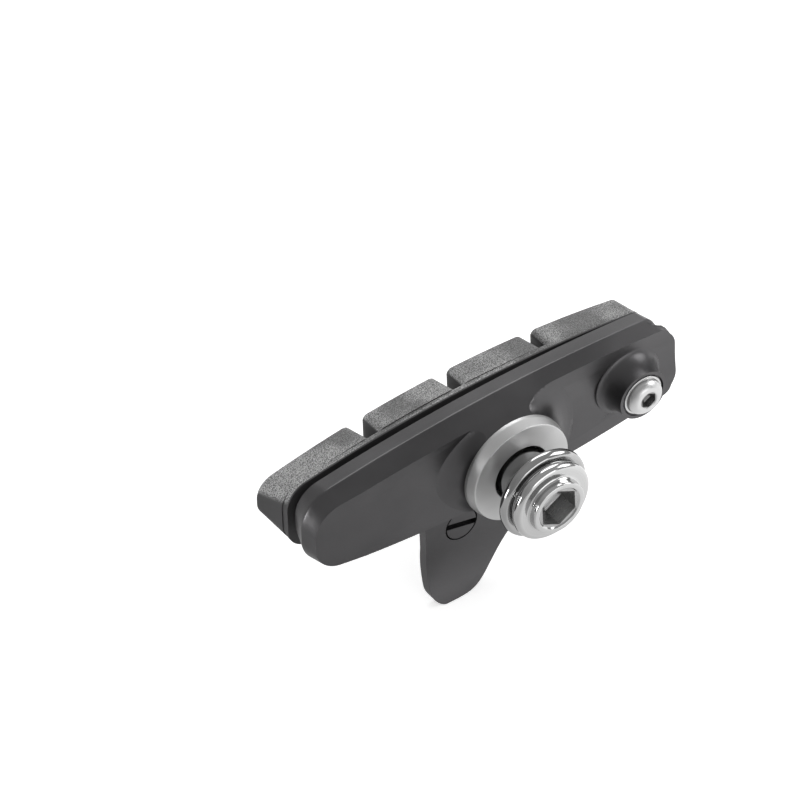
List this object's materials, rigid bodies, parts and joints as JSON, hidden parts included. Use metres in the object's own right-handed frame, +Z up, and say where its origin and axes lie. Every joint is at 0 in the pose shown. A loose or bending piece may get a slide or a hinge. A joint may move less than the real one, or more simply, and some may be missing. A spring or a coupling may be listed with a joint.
{
  "type": "bicycle rim brake shoe",
  "caption": "Cartridge rim brake shoe: rubber pad with cross grooves in a scooped metal holder, with mounting bolt, washers, pad screw and curved wheel guide.",
  "frame": {"origin": "on the mounting bolt's axis, in the plane of the seat washer's outer face, where the brake arm bears", "axes": "+X along the shoe from the closed nose to the open tail, +Y towards the wheel rim, +Z up, wheel guide below"},
  "size_m": [0.0569, 0.0236, 0.028],
  "materials": {
    "holder_metal": "dark satin",
    "pad_rubber": "matte, moulded",
    "plated_steel": "dark bright plating",
    "washer_metal": "satin",
    "screw_steel": "bright plating",
    "guide_metal": "dark satin"
  },
  "bodies": {
    "root": {"shoe_holder": "holder_metal", "brake_pad": "pad_rubber", "mounting_bolt": "plated_steel", "head_washer": "plated_steel", "seat_washer": "washer_metal", "pad_screw": "screw_steel", "wheel_guide": "guide_metal", "guide_screw": "guide_metal"}
  },
  "joints": []
}
